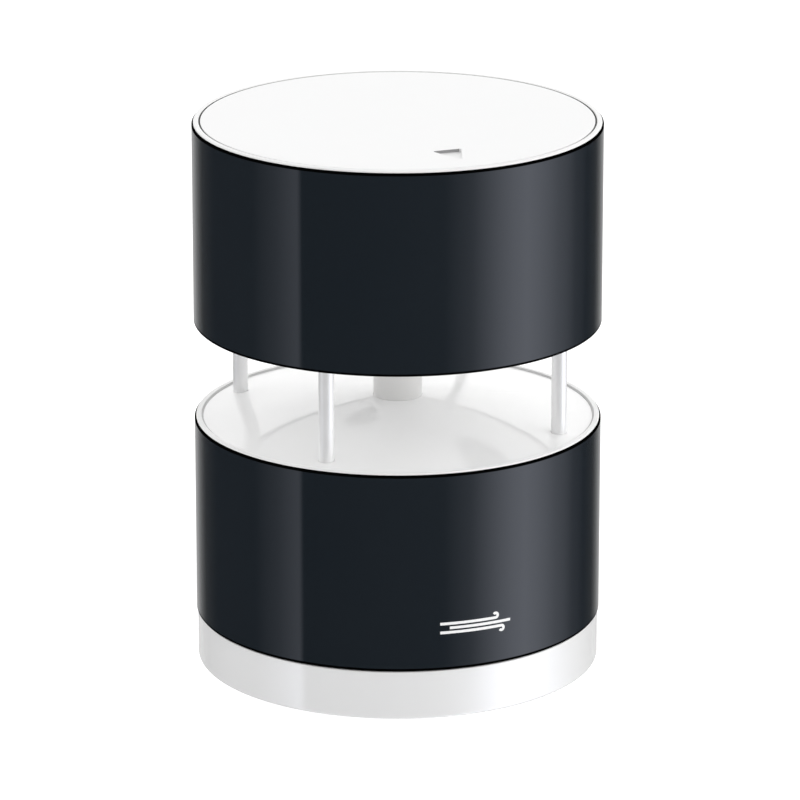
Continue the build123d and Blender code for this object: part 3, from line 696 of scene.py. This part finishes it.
def make_springs():
    """Conical contact springs, closed at both ends."""
    wire, turns, closed, steps, narrow, sides, sharp = 0.3, 4.5, 0.75, 34, 2.3, 10, 60
    for number in NUMBERS:
        low, high = node_box(f"battery_spring_{number}")
        inward = side_of(number)
        plate, cell_end = (low.y, high.y) if inward > 0 else (high.y, low.y)
        first, last = plate + inward * wire, cell_end - inward * wire
        x, z = (low.x + high.x) / 2, (low.z + high.z) / 2
        wide = (high.x - low.x) / 2 - wire
        path = []
        for k in range(int(turns * steps) + 1):
            turn = k / steps
            climb = min(1.0, max(0.0, (turn - closed) / (turns - 2 * closed)))
            radius, angle = wide + (narrow - wide) * turn / turns, 2 * math.pi * turn
            y = first + (last - first) * climb
            path.append((x + radius * math.cos(angle), y, z + radius * math.sin(angle)))
        draft = Draft()
        draft.wire(path, wire, sides)
        mesh = draft.mesh("contact_spring", sharp)
        spring = piece(f"contact_spring_{number}", mesh, "housing", "spring_plate")
        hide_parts(f"battery_spring_{number}")
        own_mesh(spring)


# Electronics


def gull_legs(draft, middle, floor, edge, reach, spacing, count, turns):
    """Bent legs along the sides of a chip, which stand on the floor at the reach given."""
    shoulder, root, knee, toe, thick, sides = 0.5, 0.1, 0.15, 0.5, 0.16, 4
    for turn in turns:
        side = Matrix.Translation((*middle, floor)) @ Matrix.Rotation(math.radians(turn), 4, "Z")
        for k in range(count):
            y = (k - (count - 1) / 2) * spacing
            path = [(edge - root, y, shoulder), (edge + knee, y, shoulder)]
            path += [(reach - toe, y, root), (reach, y, root)]
            draft.wire(path, min(thick, spacing * 0.3), sides, side, 1)


def make_chips():
    """Moulded packages on bent legs, with a dimple at pin one of the large one."""
    body, half, dimple_place, dimple_sides = 7.2, 3.6, 2.7, 24
    dimple_ring = [(0.28, -0.02), (0.42, -0.02), (0.42, 0.0), (0.28, 0.0)]
    low, high = node_box("microcontroller")
    middle = ((low.x + high.x) / 2, (low.y + high.y) / 2)
    draft = Draft()
    draft.block((*middle, (low.z + high.z) / 2 + 0.06), (body, body, high.z - low.z - 0.12), 0.12)
    dimple = Matrix.Translation((middle[0] - dimple_place, middle[1] + dimple_place, high.z))
    draft.turned(dimple_ring, dimple_sides, dimple, 1)
    gull_legs(draft, middle, low.z, half, (high.x - low.x) / 2, spacing=0.5, count=12, turns=QUARTERS)
    mesh = draft.mesh("controller_chip")
    chip = piece("controller_chip", mesh, "housing", "chip_black", "chip_black", "solder")
    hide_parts("microcontroller")
    length, width, half, reach = 5.0, 2.6, 1.3, 2.0
    low, high = node_box("amplifier_chips")
    draft = Draft()
    for angle in AMPLIFIER_ANGLES:
        middle = polar(AMPLIFIER_CIRCLE, angle)
        draft.block((*middle, (low.z + high.z) / 2 + 0.05), (length, width, high.z - low.z - 0.1), 0.14)
        gull_legs(draft, middle, low.z, half, reach, spacing=1.27, count=4, turns=(90, 270))
    mesh = draft.mesh("amplifiers")
    chips = piece("amplifier_packages", mesh, "housing", "chip_black", "chip_black", "solder")
    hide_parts("amplifier_chips")


def make_transformers():
    """A copper winding between two ferrite plates, for each transducer."""
    low, high = node_box("drive_transformers")
    turns, steps, coil, wire, sides = 6, 28, 2.6, 0.15, 8
    plate, foot, lid, post_place, post, post_depth = 7.4, 1.6, 1.2, 3.3, 0.7, 5.0
    first, last = low.z + 1.85, high.z - 1.45
    draft = Draft()
    for angle in DIAGONALS:
        x, y = polar(TRANSFORMER_CIRCLE, angle)
        draft.block((x, y, low.z + foot / 2), (plate, plate, foot), 0.4)
        draft.block((x, y, high.z - lid / 2), (plate, plate, lid), 0.5)
        for side in (-1, 1):
            at = (x + side * post_place, y, (low.z + high.z) / 2)
            draft.block(at, (post, post_depth, high.z - low.z - 1.0))
        path = []
        for k in range(turns * steps + 1):
            turn = 2 * math.pi * k / steps
            rise = first + (last - first) * k / (turns * steps)
            path.append((x + coil * math.cos(turn), y + coil * math.sin(turn), rise))
        draft.wire(path, wire, sides, look=1)
    mesh = draft.mesh("step_up_coils")
    coils = piece("step_up_coils", mesh, "housing", "chip_black", "ferrite", "copper_wire")
    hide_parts("drive_transformers")


def make_capacitors():
    """Electrolytic cans with a crimp and a scored top, on plastic seats."""
    low, high = node_box("capacitors")
    base, top, axis, sectors = low.z, high.z, 0.02, 40
    radius, crimp, seat, seat_height, score_length, score_width = 3.0, 2.78, 5.9, 0.6, 3.4, 0.2
    can = [(axis, base + 0.5), (2.85, base + 0.5), (radius, base + 0.65), (radius, base + 0.95)]
    can += [(crimp, base + 1.1), (crimp, base + 1.3), (radius, base + 1.5)]
    can += [*arc((2.6, top - 0.4), 0.4, 0, 90, 6), (2.2, top), (2.05, top - 0.08), (axis, top - 0.08)]
    draft = Draft()
    for x, y in CAPACITOR_PLACES:
        place = Matrix.Translation((x, y, 0))
        draft.capped(can, sectors, place)
        draft.block((x, y, base + seat_height / 2), (seat, seat, seat_height), 0.4, look=1)
        for turn in DIAGONALS[:2]:
            score = place @ Matrix.Rotation(math.radians(turn), 4, "Z")
            draft.block((0, 0, top - 0.06), (score_length, score_width, 0.06), matrix=score, look=1)
    mesh = draft.mesh("cans")
    cans = piece("electrolytic_cans", mesh, "housing", "shield_metal", "shield_metal", "chip_black")
    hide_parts("capacitors")


def make_plugs():
    """The plugs on the sensor cable's ends, in their sockets."""
    shell, level, ridge, ridge_level, ridge_pitch = (8.2, 4.2, 4.2), 3.4, (0.4, 4.3, 1.6), 4.0, 1.1
    draft = Draft()
    main_top, sensor_bottom = node_box("main_board")[1].z, node_box("sensor_board")[0].z
    for x, seat, way in ((MAIN_PLUG_X, main_top, 1), (0, sensor_bottom, -1)):
        plug = Matrix.Translation((x, 0, seat)) @ Matrix.Rotation(0 if way > 0 else math.pi, 4, "X")
        draft.block((0, 0, level), shell, 0.4, matrix=plug)
        for k in range(-3, 4):
            draft.block((k * ridge_pitch, 0, ridge_level), ridge, matrix=plug)
    piece("cable_plugs", draft.mesh("cable_plugs"), "housing", "connector_plastic")


def make_board_detail(node, radius, taken, seed):
    """Copper runs, pads and small parts on a board's upper face, clear of what already stands there."""
    top = node_box(node)[1].z
    rows, pitch, jog, tail, run_room, track, copper = 10, 3.2, 1.2, 3.2, 0.8, 0.24, 0.03
    pad_ring, pad_sides = [(0.16, 0.0), (0.38, 0.0), (0.38, 0.04), (0.16, 0.04)], 16
    tries, part_room, part_size = 160, 1.5, 1.4
    body, body_level, end, end_level, end_place = (0.9, 0.8, 0.5), 0.27, (0.34, 0.82, 0.48), 0.26, 0.6
    dice = random.Random(seed)
    draft = Draft()

    def free(x, y, room):
        if math.hypot(x, y) > radius - room:
            return False
        return all(abs(x - a) > w / 2 + room or abs(y - b) > d / 2 + room for a, b, w, d in taken)

    for row in range(-rows, rows + 1):
        x, level = -radius, row * pitch
        while x < radius:
            length, bend = dice.uniform(4, 11), dice.choice((-jog, jog))
            path = [(x, level), (x + length, level)]
            path += [(x + length + jog, level + bend), (x + length + tail, level + bend)]
            x += length + dice.uniform(4.5, 7)
            if not all(free(a, b, run_room) for a, b in [*path, (path[0][0] + length / 2, level)]):
                continue
            for first, second in zip(path, path[1:]):
                run = Vector(second) - Vector(first)
                middle = (Vector(first) + Vector(second)) / 2
                aim = Matrix.Translation((*middle, top)) @ Matrix.Rotation(math.atan2(run.y, run.x), 4, "Z")
                draft.block((0, 0, copper / 2), (run.length + 0.2, track, copper), matrix=aim)
            for spot in (path[0], path[-1]):
                pad = Matrix.Translation((*spot, top))
                draft.turned(pad_ring, pad_sides, pad, 1)
    for _ in range(tries):
        x, y = dice.uniform(-radius, radius), dice.uniform(-radius, radius)
        if not free(x, y, part_room):
            continue
        taken = [*taken, (x, y, part_size, part_size)]
        place = Matrix.Translation((x, y, top)) @ Matrix.Rotation(dice.choice((0, math.pi / 2)), 4, "Z")
        draft.block((0, 0, body_level), body, 0.04, place, dice.choice((2, 3)))
        for side in (-1, 1):
            draft.block((side * end_place, 0, end_level), end, 0.05, place, 1)
    looks = ("board_run", "solder", "chip_black", "chip_ceramic")
    piece(node + "_detail", draft.mesh(node + "_detail"), "housing", "board_green", *looks)


def screw_room(place):
    """The squares that a board's four screws stand on."""
    return [(x * place, y * place, 6, 6) for x in (-1, 1) for y in (-1, 1)]


def make_boards():
    """What stands on each board is left clear: (x, y, width, depth) in millimetres."""
    main = screw_room(MAIN_SCREW_PLACE)
    main += [(*polar(PILLAR_CIRCLE, angle), 8, 8) for angle in QUARTERS]
    main += [(-14, 6, 10, 10), (8, -20, 17, 14), (12, -31.2, 21, 5), (-14, -3, 6, 4.2), (24, 8.5, 14, 17)]
    main += [(-6, -32, 2.6, 2), (MAIN_PLUG_X, 0, 11, 7), (-24, 14, 8, 6)]
    make_board_detail("main_board", radius=35.5, taken=main, seed=7)
    sensor = screw_room(SENSOR_SCREW_PLACE)
    sensor += [(*polar(TRANSFORMER_CIRCLE, angle), 9, 9) for angle in DIAGONALS]
    sensor += [(*polar(AMPLIFIER_CIRCLE, angle), 6, 5) for angle in AMPLIFIER_ANGLES]
    pins = [polar(TRANSDUCER_CIRCLE, angle) for angle in QUARTERS]
    sensor += [(x, y + side * 2.5, 2, 2) for x, y in pins for side in (-1, 1)]
    make_board_detail("sensor_board", radius=33.0, taken=sensor, seed=11)


make_camera()
make_world()
make_floor()
MATERIALS = {name: material(name, *finish) for name, finish in FINISHES.items()}
dress_nodes()
make_sleeve("lower_sleeve")
make_sleeve("upper_sleeve")
make_wind_mark()
make_insert()
make_twist_signs()
make_grilles()
make_north_shade()
make_batteries()
make_springs()
make_chips()
make_transformers()
make_capacitors()
make_plugs()
make_boards()
